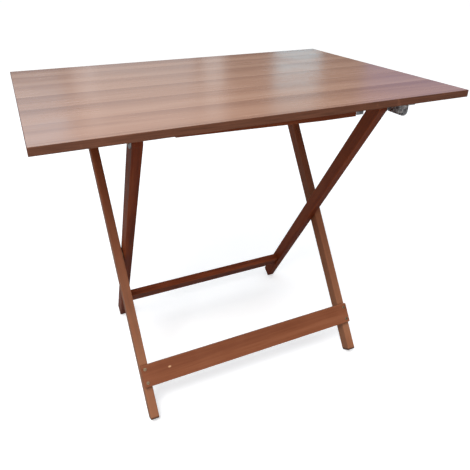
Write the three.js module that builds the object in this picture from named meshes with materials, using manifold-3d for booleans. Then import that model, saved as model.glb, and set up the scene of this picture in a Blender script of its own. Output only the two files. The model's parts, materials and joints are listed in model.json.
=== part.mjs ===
// Folding table: a laminated board on two crossed wooden frames.
// The inner frame hinges on two steel brackets under the front of the board. The outer frame crosses it on
// two pivot bolts, and its round top rail lies in two open hooks under the back of the board.
// Millimetres, +Z up, +Y towards the back. Origin: on the floor, under the middle of the board.
import * as THREE from "three";
import { mergeVertices } from "three/addons/utils/BufferGeometryUtils.js";
import Module from "manifold-3d";

const wasm = await Module();
wasm.setup();

// ---- Driving dimensions: board ----
const BOARD_LENGTH = 850;
const BOARD_DEPTH = 600;
const BOARD_THICKNESS = 14;
const TABLE_HEIGHT = 724;
const LAMINATE = 0.8;
const EDGE_BAND = 1;
const SKIN_GAP = 0.05;

// ---- Driving dimensions: crossed frames ----
const LEG_THICKNESS = 20;
const LEG_WIDTH = 32;
const FOOT_CORNER = 5;
const OUTER_FACE = 288;
const FRAME_GAP = 2.4;
const AXIS_DROP = 18;
const AXIS_HALF_SPAN = 237;
const PIVOT_Y = 6;
const LEG_ANGLE = THREE.MathUtils.degToRad(56.3);

const SLAT_WIDTH = 51.5;
const SLAT_THICKNESS = 11;
const SLAT_HALF_LENGTH = 287;
const SLAT_CORNER = 3;
const SLAT_ABOVE_FLOOR = 111.7;
const SLAT_SCREW_SPACING = 32;

const RUNG_WIDTH = 39;
const RUNG_THICKNESS = 20;
const RUNG_ABOVE_FLOOR = 112;
const RAIL_RADIUS = 11;

// ---- Driving dimensions: batten under the front, thinner towards its left end ----
const BATTEN_HALF_LENGTH = 189;
const BATTEN_FRONT_Y = -245;
const BATTEN_DEPTH = 20;
const BATTEN_HEIGHT = 27.5;
const BATTEN_THIN_HEIGHT = 20.4;
const BATTEN_TAPER_X = 110;
const BATTEN_SCREWS_X = [-150, 0, 150];

// ---- Driving dimensions: sheet-steel fittings ----
const SHEET = 2;
const EAR_RADIUS = 14;
const EAR_SHOULDER = 6;
const HINGE_FLANGE = { out: 34, front: 8.5, back: 32 };
const HINGE_SCREWS = { out: 20, fromAxis: [-1, 22] };
const CATCH = { front: -298, back: -241, drop: 25.5, corner: 14, flange: 20, flangeBack: -249 };
const CATCH_SCREWS = { out: 12, y: [-283, -256] };
const STOP = { fromBatten: 1.2, width: 16, depth: 26, drop: 25, screwBack: 16 };
const HOOK_X = 180;
const HOOK_WIDTH = 22;
const HOOK_STRIP = 1.6;
const HOOK_CLEARANCE = 0.7;
const HOOK_LEAF = 22;
const HOOK_JAW = 9;
const HOOK_SCREW_FORWARD = 27;

// ---- Driving dimensions: fasteners ----
const BOLT_RADIUS = 3;
const BOLT_REACH = 15;
const HINGE_HEAD = { radius: 6.5, height: 3.4, dome: 3 };
const PIVOT_HEAD = { radius: 8, height: 2.4 };
const SOCKET = { radius: 2.4, depth: 1 };
const INSERT = { radius: 5, length: 13, hole: 16 };
const WASHER = { radius: 9, thickness: 1.6 };
const SCREW_RADIUS = 2;
const PAN_HEAD = { radius: 3.8, height: 1.8, edge: 0.9, crown: 2.8, slot: 0.8, slotReach: 2.4 };
const FLAT_HEAD = { radius: 3.8, height: 2.6, rim: 0.4, slot: 0.9, slotReach: 2.2, slotDepth: 1 };
const SHEET_SCREW_LENGTH = 11;
const BATTEN_SCREW_LENGTH = 32;
const SLAT_SCREW_LENGTH = 32;
const SIDE_SCREW_LENGTH = 45;

// ---- Gaps and facets ----
const FIT_GAP = 0.3;
const SEAT_GAP = 0.1;
const HEAD_GAP = 0.2;
const EAR_GAP = 0.5;
const CATCH_GAP = 1.5;
const PAST = 1;
const MERGE_DISTANCE = 1e-4;
const ROUND_SIDES = 18;
const RAIL_SIDES = 24;
const SCREW_SIDES = 10;
const SOCKET_SIDES = 6;
const ARC_STEPS = 8;
const EAR_STEPS = 10;
const LEG_STEPS = 6;
const CORNER_STEPS = 4;

// ---- Derived places ----
const UNDERSIDE = TABLE_HEIGHT - BOARD_THICKNESS;
const FITTING_TOP = UNDERSIDE - SEAT_GAP;
const AXIS_Z = UNDERSIDE - AXIS_DROP;
const HINGE_Y = PIVOT_Y - AXIS_HALF_SPAN;
const RAIL_Y = PIVOT_Y + AXIS_HALF_SPAN;
const LEG_REACH = AXIS_HALF_SPAN / Math.cos(LEG_ANGLE);
const PIVOT_Z = AXIS_Z - LEG_REACH * Math.sin(LEG_ANGLE);
const LEAN = Math.PI / 2 - LEG_ANGLE;

// A leg's foot is cut square to the leg, and its lowest rounded corner stands on the floor.
const CORNER_DROP = (LEG_WIDTH / 2 - FOOT_CORNER) * Math.cos(LEG_ANGLE) + FOOT_CORNER;
const FOOT_REACH = (PIVOT_Z - CORNER_DROP) / Math.sin(LEG_ANGLE) + FOOT_CORNER;

// Heights above the floor are measured along the leg.
const FLOOR_REACH = PIVOT_Z / Math.sin(LEG_ANGLE);
const RUNG_PLACE = RUNG_ABOVE_FLOOR - FLOOR_REACH;
const SLAT_PLACE = SLAT_ABOVE_FLOOR - FLOOR_REACH;
const SLAT_BACK = -LEG_WIDTH / 2 - FIT_GAP;
const SLAT_FRONT = SLAT_BACK - SLAT_THICKNESS;
const SLAT_SCREW_X = OUTER_FACE - LEG_THICKNESS / 2;
const SLAT_SCREW_PLACES = [SLAT_PLACE - SLAT_SCREW_SPACING / 2, SLAT_PLACE + SLAT_SCREW_SPACING / 2];

const OUTER_IN = OUTER_FACE - LEG_THICKNESS;
const INNER_OUT = OUTER_IN - FRAME_GAP;
const INNER_IN = INNER_OUT - LEG_THICKNESS;
const EAR_INSIDE = INNER_OUT + EAR_GAP;
const EAR_OUTSIDE = EAR_INSIDE + SHEET;
const CATCH_INSIDE = EAR_OUTSIDE + CATCH_GAP;
const STOP_START = BATTEN_HALF_LENGTH + STOP.fromBatten;
const SIDES = [[-1, "left"], [1, "right"]];

// Every screw that holds a fitting under the board: its name, place and the thickness it passes.
const FITTING_SCREWS = [
  ...SIDES.flatMap(([side, word]) =>
    HINGE_SCREWS.fromAxis.map((offset, i) => ({
      name: `bracket_screw_${word}_${i === 0 ? "front" : "back"}`,
      x: side * (EAR_INSIDE + HINGE_SCREWS.out),
      y: HINGE_Y + offset,
      sheet: SHEET,
    })),
  ),
  ...CATCH_SCREWS.y.map((y, i) => ({
    name: `catch_screw_${i === 0 ? "front" : "back"}`,
    x: CATCH_INSIDE + CATCH_SCREWS.out,
    y,
    sheet: SHEET,
  })),
  {
    name: "stop_screw",
    x: STOP_START + STOP.width / 2,
    y: BATTEN_FRONT_Y + STOP.screwBack,
    sheet: SHEET,
  },
  ...SIDES.map(([side, word]) => ({
    name: `hook_screw_${word}`,
    x: side * HOOK_X,
    y: RAIL_Y - HOOK_SCREW_FORWARD,
    sheet: HOOK_STRIP,
  })),
];

// ---- Materials ----
function finish(color, roughness, metalness = 0) {
  return { color, roughness, metalness };
}
const LAMINATE_TOP = finish(0xbfa293, 0.38);
const LAMINATE_UNDER = finish(0xa98a78, 0.5);
const CHIPBOARD = finish(0xb59a72, 0.9);
const BAND = finish(0x6b3c28, 0.45);
const STAINED_WOOD = finish(0x6a3a24, 0.55);
const STAINED_SLAT = finish(0x83502f, 0.5);
const GALVANISED = finish(0x8f9499, 0.4, 0.9);
const ZINC = finish(0xc2b89a, 0.35, 0.9);

// ---- Helpers: solids ----
function named(name, geometry, look) {
  const mesh = new THREE.Mesh(geometry, new THREE.MeshStandardMaterial(look));
  mesh.name = name;
  return mesh;
}

// A three.js geometry as a closed solid that can be joined and cut.
function solid(geometry) {
  const bare = geometry.clone();
  bare.deleteAttribute("normal");
  bare.deleteAttribute("uv");
  const merged = mergeVertices(bare, MERGE_DISTANCE);
  return new wasm.Manifold(
    new wasm.Mesh({
      numProp: 3,
      vertProperties: new Float32Array(merged.attributes.position.array),
      triVerts: new Uint32Array(merged.index.array),
    }),
  );
}

function geometryOf(manifold) {
  const mesh = manifold.getMesh();
  const geometry = new THREE.BufferGeometry();
  geometry.setAttribute("position", new THREE.BufferAttribute(new Float32Array(mesh.vertProperties), 3));
  geometry.setIndex(new THREE.BufferAttribute(new Uint32Array(mesh.triVerts), 1));
  return geometry;
}

function join(...geometries) {
  return geometryOf(geometries.map(solid).reduce((whole, piece) => whole.add(piece)));
}

function cut(body, ...tools) {
  return geometryOf(tools.map(solid).reduce((left, tool) => left.subtract(tool), solid(body)));
}

// A box given by its two corners.
function block(low, high) {
  const size = high.map((value, axis) => value - low[axis]);
  const middle = high.map((value, axis) => (value + low[axis]) / 2);
  return new THREE.BoxGeometry(...size).translate(...middle);
}

// A box between two distances from the middle of the table, on one side of it.
function blockOnSide(side, near, far, y0, y1, z0, z1) {
  const ends = [side * near, side * far];
  return block([Math.min(...ends), y0, z0], [Math.max(...ends), y1, z1]);
}

// An outline drawn in (Y, Z), extruded along X from x0 to x1.
function prism(shape, x0, x1, curveSegments = ARC_STEPS) {
  const geometry = new THREE.ExtrudeGeometry(shape, { depth: x1 - x0, bevelEnabled: false, curveSegments });
  const toYZ = new THREE.Matrix4().makeBasis(
    new THREE.Vector3(0, 1, 0),
    new THREE.Vector3(0, 0, 1),
    new THREE.Vector3(1, 0, 0),
  );
  return geometry.applyMatrix4(toYZ).translate(x0, 0, 0);
}

// An outline drawn in (X, Z), with its back at y and its thickness towards the front.
function upright(shape, y, thickness) {
  const settings = { depth: thickness, bevelEnabled: false, curveSegments: CORNER_STEPS };
  const geometry = new THREE.ExtrudeGeometry(shape, settings);
  return geometry.rotateX(Math.PI / 2).translate(0, y, 0);
}

// A turned piece along X: profile is a list of [x, radius], from one end on the axis to the other.
function turnedX(profile, y = 0, z = 0, sides = ROUND_SIDES) {
  const points = profile.map(([x, radius]) => new THREE.Vector2(radius, x));
  return new THREE.LatheGeometry(points, sides).rotateZ(-Math.PI / 2).translate(0, y, z);
}

function rodX(radius, x0, x1, y = 0, z = 0, sides = ROUND_SIDES) {
  return turnedX([[x0, 0], [x0, radius], [x1, radius], [x1, 0]], y, z, sides);
}

// A flat ring along X with a round bore.
function ringX(bore, radius, x0, x1) {
  return cut(rodX(radius, x0, x1), rodX(bore, x0 - PAST, x1 + PAST));
}

// A turned piece along Z, profile as a list of [z, radius] from bottom to top.
function turnedZ(profile, sides = SCREW_SIDES) {
  const points = profile.map(([z, radius]) => new THREE.Vector2(radius, z));
  return new THREE.LatheGeometry(points, sides).rotateX(Math.PI / 2);
}

function rodZ(radius, z0, z1) {
  return turnedZ([[z0, 0], [z0, radius], [z1, radius], [z1, 0]]);
}

// A piece made for the right side, turned round for the left.
function onSide(geometry, side) {
  return side > 0 ? geometry : geometry.clone().rotateZ(Math.PI);
}

// ---- Helpers: screws ----
// Two crossed slots cut into a head between two heights.
function crossSlots(reach, width, z0, z1) {
  const half = width / 2;
  return [
    block([-reach, -half, z0], [reach, half, z1]),
    block([-half, -reach, z0], [half, reach, z1]),
  ];
}

// A pan-head wood screw: its head's underside is at the origin and it points up.
function panScrew(length) {
  const body = turnedZ([
    [-PAN_HEAD.height, 0],
    [-PAN_HEAD.height, PAN_HEAD.crown],
    [-PAN_HEAD.edge, PAN_HEAD.radius],
    [0, PAN_HEAD.radius],
    [0, SCREW_RADIUS],
    [length - SCREW_RADIUS, SCREW_RADIUS],
    [length, 0],
  ]);
  const slotTop = -PAN_HEAD.height + PAN_HEAD.slot;
  return cut(body, ...crossSlots(PAN_HEAD.slotReach, PAN_HEAD.slot, -PAN_HEAD.height - PAST, slotTop));
}

// The hole that a pan-head screw leaves in what lies above its head.
function panScrewHole(length, x, y, z) {
  return rodZ(SCREW_RADIUS + FIT_GAP, z - PAST, z + length + FIT_GAP).translate(x, y, 0);
}

// A countersunk wood screw with a flat head at z = 0, pointing down.
function flatScrew(length) {
  const body = turnedZ([
    [-length, 0],
    [-length + SCREW_RADIUS, SCREW_RADIUS],
    [-FLAT_HEAD.height, SCREW_RADIUS],
    [-FLAT_HEAD.rim, FLAT_HEAD.radius],
    [0, FLAT_HEAD.radius],
    [0, 0],
  ]);
  return cut(body, ...crossSlots(FLAT_HEAD.slotReach, FLAT_HEAD.slot, -FLAT_HEAD.slotDepth, PAST));
}

function flatScrewHole(length) {
  const shank = SCREW_RADIUS + FIT_GAP;
  const head = FLAT_HEAD.radius + FIT_GAP;
  return turnedZ([
    [-length - FIT_GAP, 0],
    [-length - FIT_GAP, shank],
    [-FLAT_HEAD.height - FIT_GAP, shank],
    [-FLAT_HEAD.rim - FIT_GAP, head],
    [PAST, head],
    [PAST, 0],
  ]);
}

// A side screw, or its hole, pointing inwards from a leg's face at x, at a height along the leg.
function sideways(geometry, x, height) {
  return geometry.rotateY(Math.PI / 2).translate(x, 0, height);
}

// A slat screw, or its hole, pointing from the slat's front face into the leg.
function fromSlatFront(geometry) {
  return geometry.rotateX(Math.PI / 2);
}

// ---- Tabletop: board ----
const SKIN_HALF_X = BOARD_LENGTH / 2 - EDGE_BAND - SKIN_GAP;
const SKIN_HALF_Y = BOARD_DEPTH / 2 - EDGE_BAND - SKIN_GAP;
const BATTEN_BACK_Y = BATTEN_FRONT_Y + BATTEN_DEPTH;
const BATTEN_MIDDLE_Y = BATTEN_FRONT_Y + BATTEN_DEPTH / 2;

// How far the batten hangs down at x.
function battenHeight(x) {
  const taperLength = BATTEN_TAPER_X + BATTEN_HALF_LENGTH;
  const along = Math.min(1, (x + BATTEN_HALF_LENGTH) / taperLength);
  return THREE.MathUtils.lerp(BATTEN_THIN_HEIGHT, BATTEN_HEIGHT, along);
}

function battenScrewHoles() {
  return BATTEN_SCREWS_X.map((x) =>
    panScrewHole(BATTEN_SCREW_LENGTH, x, BATTEN_MIDDLE_Y, FITTING_TOP - battenHeight(x) - SEAT_GAP),
  );
}

// Screw holes through the lower laminate into the core.
function underboardHoles() {
  const fittings = FITTING_SCREWS.map(({ x, y, sheet }) =>
    panScrewHole(SHEET_SCREW_LENGTH, x, y, FITTING_TOP - sheet - SEAT_GAP),
  );
  return [...fittings, ...battenScrewHoles()];
}

function skin(bottom, top) {
  return block([-SKIN_HALF_X, -SKIN_HALF_Y, bottom], [SKIN_HALF_X, SKIN_HALF_Y, top]);
}

function boardCore() {
  const core = skin(UNDERSIDE + LAMINATE + SKIN_GAP, TABLE_HEIGHT - LAMINATE - SKIN_GAP);
  return cut(core, ...underboardHoles());
}

// A long band covers the whole front or back edge; a short one fits between them.
function longBand(side) {
  const ends = [side * (BOARD_DEPTH / 2 - EDGE_BAND), (side * BOARD_DEPTH) / 2];
  return block(
    [-BOARD_LENGTH / 2, Math.min(...ends), UNDERSIDE],
    [BOARD_LENGTH / 2, Math.max(...ends), TABLE_HEIGHT],
  );
}

function shortBand(side) {
  const outer = BOARD_LENGTH / 2;
  return blockOnSide(side, outer - EDGE_BAND, outer, -SKIN_HALF_Y, SKIN_HALF_Y, UNDERSIDE, TABLE_HEIGHT);
}

// ---- Tabletop: batten and sheet-steel fittings ----
function batten() {
  const end = BATTEN_HALF_LENGTH;
  const shape = new THREE.Shape();
  shape.moveTo(-end, FITTING_TOP - battenHeight(-end));
  shape.lineTo(BATTEN_TAPER_X, FITTING_TOP - BATTEN_HEIGHT);
  shape.lineTo(end, FITTING_TOP - BATTEN_HEIGHT);
  shape.lineTo(end, FITTING_TOP);
  shape.lineTo(-end, FITTING_TOP);
  shape.closePath();
  return cut(upright(shape, BATTEN_BACK_Y, BATTEN_DEPTH), ...battenScrewHoles());
}

// Clearance holes for the screws of one fitting, chosen by the start of their names.
function fittingHoles(nameStart) {
  return FITTING_SCREWS.filter(({ name }) => name.startsWith(nameStart)).map(({ x, y }) =>
    rodZ(SCREW_RADIUS + FIT_GAP, FITTING_TOP - SHEET - PAST, FITTING_TOP + PAST).translate(x, y, 0),
  );
}

// A small angle just past the batten's right end, with its upright leaf facing the front.
function stopAngle() {
  const end = STOP_START + STOP.width;
  const back = BATTEN_FRONT_Y + STOP.depth;
  const flat = block([STOP_START, BATTEN_FRONT_Y, FITTING_TOP - SHEET], [end, back, FITTING_TOP]);
  const leaf = block(
    [STOP_START, BATTEN_FRONT_Y, FITTING_TOP - STOP.drop],
    [end, BATTEN_FRONT_Y + SHEET, FITTING_TOP],
  );
  return cut(join(flat, leaf), ...fittingHoles("stop_screw"));
}

// A hinge ear's outline in (Y, Z): straight sides down from the board, round about the hinge axis.
function earOutline() {
  const shape = new THREE.Shape();
  shape.moveTo(HINGE_Y + EAR_RADIUS, FITTING_TOP);
  shape.lineTo(HINGE_Y - EAR_RADIUS - EAR_SHOULDER, FITTING_TOP);
  shape.lineTo(HINGE_Y - EAR_RADIUS, AXIS_Z);
  shape.absarc(HINGE_Y, AXIS_Z, EAR_RADIUS, Math.PI, 2 * Math.PI, false);
  shape.closePath();
  return shape;
}

function hingeBracket(side, word) {
  const x0 = Math.min(side * EAR_INSIDE, side * EAR_OUTSIDE);
  const ear = prism(earOutline(), x0, x0 + SHEET, EAR_STEPS);
  const flange = blockOnSide(
    side,
    EAR_INSIDE,
    EAR_INSIDE + HINGE_FLANGE.out,
    HINGE_Y - HINGE_FLANGE.front,
    HINGE_Y + HINGE_FLANGE.back,
    FITTING_TOP - SHEET,
    FITTING_TOP,
  );
  const bore = rodX(BOLT_RADIUS + FIT_GAP, x0 - PAST, x0 + SHEET + PAST, HINGE_Y, AXIS_Z);
  return cut(join(ear, flange), bore, ...fittingHoles(`bracket_screw_${word}`));
}

// A single plate that hangs at the right, in front of the hinge, with a rounded front corner.
function catchPlate() {
  const bottom = FITTING_TOP - CATCH.drop;
  const middle = [CATCH.front + CATCH.corner, bottom + CATCH.corner];
  const outline = new THREE.Shape();
  outline.moveTo(CATCH.back, FITTING_TOP);
  outline.lineTo(CATCH.front, FITTING_TOP);
  outline.lineTo(CATCH.front, bottom + CATCH.corner);
  outline.absarc(...middle, CATCH.corner, Math.PI, 1.5 * Math.PI, false);
  outline.lineTo(CATCH.back, bottom);
  outline.closePath();
  const plate = prism(outline, CATCH_INSIDE, CATCH_INSIDE + SHEET);
  const flange = block(
    [CATCH_INSIDE, CATCH.front, FITTING_TOP - SHEET],
    [CATCH_INSIDE + CATCH.flange, CATCH.flangeBack, FITTING_TOP],
  );
  return cut(join(plate, flange), ...fittingHoles("catch_screw"));
}

// An open hook of bent strip: a leaf under the board, a web down in front of the rail, and a jaw under it.
// Its mouth faces the back, so the rail slides out of it along the underside.
function railHook(side, word) {
  const inner = RAIL_RADIUS + HOOK_CLEARANCE;
  const outer = inner + HOOK_STRIP;
  const leafEnd = RAIL_Y - outer - HOOK_LEAF;
  const jawEnd = RAIL_Y + HOOK_JAW;
  const shape = new THREE.Shape();
  shape.moveTo(leafEnd, FITTING_TOP);
  shape.lineTo(leafEnd, FITTING_TOP - HOOK_STRIP);
  shape.lineTo(RAIL_Y - outer, FITTING_TOP - HOOK_STRIP);
  shape.lineTo(RAIL_Y - outer, AXIS_Z);
  shape.absarc(RAIL_Y, AXIS_Z, outer, Math.PI, 1.5 * Math.PI, false);
  shape.lineTo(jawEnd, AXIS_Z - outer);
  shape.lineTo(jawEnd, AXIS_Z - inner);
  shape.lineTo(RAIL_Y, AXIS_Z - inner);
  shape.absarc(RAIL_Y, AXIS_Z, inner, 1.5 * Math.PI, Math.PI, true);
  shape.lineTo(RAIL_Y - inner, FITTING_TOP);
  shape.closePath();
  const x0 = side * HOOK_X - HOOK_WIDTH / 2;
  return cut(prism(shape, x0, x0 + HOOK_WIDTH), ...fittingHoles(`hook_screw_${word}`));
}

function tabletop() {
  const group = new THREE.Group();
  const lowerSkin = cut(skin(UNDERSIDE, UNDERSIDE + LAMINATE), ...underboardHoles());
  group.add(named("board_core", boardCore(), CHIPBOARD));
  group.add(named("laminate_top", skin(TABLE_HEIGHT - LAMINATE, TABLE_HEIGHT), LAMINATE_TOP));
  group.add(named("laminate_under", lowerSkin, LAMINATE_UNDER));
  group.add(named("edge_band_front", longBand(-1), BAND));
  group.add(named("edge_band_back", longBand(1), BAND));
  group.add(named("front_batten", batten(), STAINED_WOOD));
  group.add(named("stop_angle", stopAngle(), GALVANISED));
  group.add(named("side_catch_plate", catchPlate(), GALVANISED));
  for (const [side, word] of SIDES) {
    group.add(named(`edge_band_${word}`, shortBand(side), BAND));
    group.add(named(`hinge_bracket_${word}`, hingeBracket(side, word), GALVANISED));
    group.add(named(`rail_hook_${word}`, railHook(side, word), GALVANISED));
  }
  BATTEN_SCREWS_X.forEach((x, i) => {
    const screw = named(`batten_screw_${i + 1}`, panScrew(BATTEN_SCREW_LENGTH), ZINC);
    screw.position.set(x, BATTEN_MIDDLE_Y, FITTING_TOP - battenHeight(x) - FIT_GAP);
    group.add(screw);
  });
  for (const { name, x, y, sheet } of FITTING_SCREWS) {
    const screw = named(name, panScrew(SHEET_SCREW_LENGTH), ZINC);
    screw.position.set(x, y, FITTING_TOP - sheet - SEAT_GAP);
    group.add(screw);
  }
  return group;
}

// ---- Frames: each is drawn about its pivot, with +Z along the leg towards its top ----
function legOutline() {
  const half = LEG_WIDTH / 2;
  const foot = FOOT_CORNER - FOOT_REACH;
  const shape = new THREE.Shape();
  shape.moveTo(half, LEG_REACH);
  shape.absarc(0, LEG_REACH, half, 0, Math.PI, false);
  shape.lineTo(-half, foot);
  shape.absarc(-half + FOOT_CORNER, foot, FOOT_CORNER, Math.PI, 1.5 * Math.PI, false);
  shape.lineTo(half - FOOT_CORNER, -FOOT_REACH);
  shape.absarc(half - FOOT_CORNER, foot, FOOT_CORNER, 1.5 * Math.PI, 2 * Math.PI, false);
  shape.closePath();
  return shape;
}

const rungScrewHole = () => sideways(flatScrewHole(SIDE_SCREW_LENGTH), INNER_OUT, RUNG_PLACE);
const railScrewHole = () => sideways(flatScrewHole(SIDE_SCREW_LENGTH), OUTER_FACE, LEG_REACH);
const slatScrewHole = (side, height) =>
  fromSlatFront(flatScrewHole(SLAT_SCREW_LENGTH)).translate(side * SLAT_SCREW_X, SLAT_FRONT, height);

// Inner legs have blind holes in their outer faces for the hinge and pivot inserts.
function innerLeg(side) {
  const ends = [side * INNER_IN, side * INNER_OUT];
  const leg = prism(legOutline(), Math.min(...ends), Math.max(...ends), LEG_STEPS);
  const insertHole = (height) =>
    rodX(INSERT.radius + FIT_GAP, INNER_OUT - INSERT.hole, INNER_OUT + PAST, 0, height);
  const tools = [insertHole(LEG_REACH), insertHole(0), rungScrewHole()];
  return cut(leg, ...tools.map((tool) => onSide(tool, side)));
}

// Outer legs have a through hole for the pivot bolt, with a seat for its head in the outer face.
function outerLeg(side) {
  const ends = [side * OUTER_IN, side * OUTER_FACE];
  const leg = prism(legOutline(), Math.min(...ends), Math.max(...ends), LEG_STEPS);
  const seat = OUTER_FACE - PIVOT_HEAD.height - 2 * FIT_GAP;
  const pivot = turnedX([
    [OUTER_IN - PAST, 0],
    [OUTER_IN - PAST, BOLT_RADIUS + FIT_GAP],
    [seat, BOLT_RADIUS + FIT_GAP],
    [seat, PIVOT_HEAD.radius + FIT_GAP],
    [OUTER_FACE + PAST, PIVOT_HEAD.radius + FIT_GAP],
    [OUTER_FACE + PAST, 0],
  ]);
  const fromOutside = [pivot, railScrewHole()].map((tool) => onSide(tool, side));
  return cut(leg, ...fromOutside, ...SLAT_SCREW_PLACES.map((height) => slatScrewHole(side, height)));
}

// A flat bar with rounded end corners across the front of the outer legs.
function slat() {
  const corner = SLAT_CORNER;
  const x = SLAT_HALF_LENGTH - corner;
  const z = SLAT_WIDTH / 2 - corner;
  const shape = new THREE.Shape();
  shape.moveTo(-x, -z - corner);
  shape.absarc(x, -z, corner, -Math.PI / 2, 0, false);
  shape.absarc(x, z, corner, 0, Math.PI / 2, false);
  shape.absarc(-x, z, corner, Math.PI / 2, Math.PI, false);
  shape.absarc(-x, -z, corner, Math.PI, 1.5 * Math.PI, false);
  shape.closePath();
  const bar = upright(shape, SLAT_BACK, SLAT_THICKNESS).translate(0, 0, SLAT_PLACE);
  const holes = SIDES.flatMap(([side]) => SLAT_SCREW_PLACES.map((height) => slatScrewHole(side, height)));
  return cut(bar, ...holes);
}

function rung() {
  const half = INNER_IN - FIT_GAP;
  const body = block(
    [-half, -RUNG_THICKNESS / 2, RUNG_PLACE - RUNG_WIDTH / 2],
    [half, RUNG_THICKNESS / 2, RUNG_PLACE + RUNG_WIDTH / 2],
  );
  return cut(body, rungScrewHole(), onSide(rungScrewHole(), -1));
}

function topRail() {
  const half = OUTER_IN - FIT_GAP;
  const body = rodX(RAIL_RADIUS, -half, half, 0, LEG_REACH, RAIL_SIDES);
  return cut(body, railScrewHole(), onSide(railScrewHole(), -1));
}

// ---- Bolts: each screws into a threaded insert in the inner leg ----
function driveSocket(face) {
  return rodX(SOCKET.radius, face - SOCKET.depth, face + PAST, 0, 0, SOCKET_SIDES);
}

function hingeBolt() {
  const seat = EAR_OUTSIDE + HEAD_GAP;
  const face = seat + HINGE_HEAD.height;
  const body = turnedX([
    [INNER_OUT - BOLT_REACH, 0],
    [INNER_OUT - BOLT_REACH, BOLT_RADIUS],
    [seat, BOLT_RADIUS],
    [seat, HINGE_HEAD.radius],
    [seat + HINGE_HEAD.height / 2, HINGE_HEAD.radius],
    [face, HINGE_HEAD.radius - HINGE_HEAD.dome],
    [face, 0],
  ]);
  return cut(body, driveSocket(face));
}

function pivotBolt() {
  const face = OUTER_FACE - HEAD_GAP;
  const body = turnedX([
    [INNER_OUT - BOLT_REACH, 0],
    [INNER_OUT - BOLT_REACH, BOLT_RADIUS],
    [face - PIVOT_HEAD.height, BOLT_RADIUS],
    [face - PIVOT_HEAD.height, PIVOT_HEAD.radius],
    [face, PIVOT_HEAD.radius],
    [face, 0],
  ]);
  return cut(body, driveSocket(face));
}

function threadedInsert() {
  const outer = INNER_OUT - FIT_GAP;
  return ringX(BOLT_RADIUS + FIT_GAP, INSERT.radius, outer - INSERT.length, outer);
}

function pivotWasher() {
  const start = INNER_OUT + (FRAME_GAP - WASHER.thickness) / 2;
  return ringX(BOLT_RADIUS + FIT_GAP, WASHER.radius, start, start + WASHER.thickness);
}

// A named piece on one side of the table, raised along the leg.
function sidePiece(name, geometry, side, look, height = 0) {
  const piece = named(name, onSide(geometry, side), look);
  piece.position.z = height;
  return piece;
}

function innerFrame() {
  const group = new THREE.Group();
  group.add(named("back_rung", rung(), STAINED_WOOD));
  for (const [side, word] of SIDES) {
    const screw = sideways(flatScrew(SIDE_SCREW_LENGTH), INNER_OUT - SEAT_GAP, 0);
    group.add(named(`inner_leg_${word}`, innerLeg(side), STAINED_WOOD));
    group.add(sidePiece(`rung_screw_${word}`, screw, side, ZINC, RUNG_PLACE));
    group.add(sidePiece(`hinge_bolt_${word}`, hingeBolt(), side, ZINC, LEG_REACH));
    group.add(sidePiece(`hinge_insert_${word}`, threadedInsert(), side, ZINC, LEG_REACH));
    group.add(sidePiece(`pivot_bolt_${word}`, pivotBolt(), side, ZINC));
    group.add(sidePiece(`pivot_insert_${word}`, threadedInsert(), side, ZINC));
  }
  return group;
}

function outerFrame() {
  const group = new THREE.Group();
  group.add(named("front_slat", slat(), STAINED_SLAT));
  group.add(named("top_rail", topRail(), STAINED_WOOD));
  for (const [side, word] of SIDES) {
    const railScrew = sideways(flatScrew(SIDE_SCREW_LENGTH), OUTER_FACE - SEAT_GAP, 0);
    group.add(named(`outer_leg_${word}`, outerLeg(side), STAINED_WOOD));
    group.add(sidePiece(`rail_screw_${word}`, railScrew, side, ZINC, LEG_REACH));
    group.add(sidePiece(`pivot_washer_${word}`, pivotWasher(), side, ZINC));
    SLAT_SCREW_PLACES.forEach((height, i) => {
      const level = i === 0 ? "lower" : "upper";
      const screw = named(`slat_screw_${word}_${level}`, fromSlatFront(flatScrew(SLAT_SCREW_LENGTH)), ZINC);
      screw.position.set(side * SLAT_SCREW_X, SLAT_FRONT + SEAT_GAP, height);
      group.add(screw);
    });
  }
  return group;
}

// ---- Assembly ----
const table = new THREE.Group();
const outer = outerFrame();
const inner = innerFrame();
outer.position.set(0, PIVOT_Y, PIVOT_Z);
inner.position.set(0, PIVOT_Y, PIVOT_Z);
outer.rotation.x = -LEAN;
inner.rotation.x = LEAN;
table.add(tabletop(), inner, outer);

export default table;
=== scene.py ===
# The looks of a folding table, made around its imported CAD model.
# Metres, +Z up, +Y towards the back, X along the board. Origin: on the floor, under the middle of the board.
import json
import math

import bmesh
import bpy
from mathutils import Matrix, Vector


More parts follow.
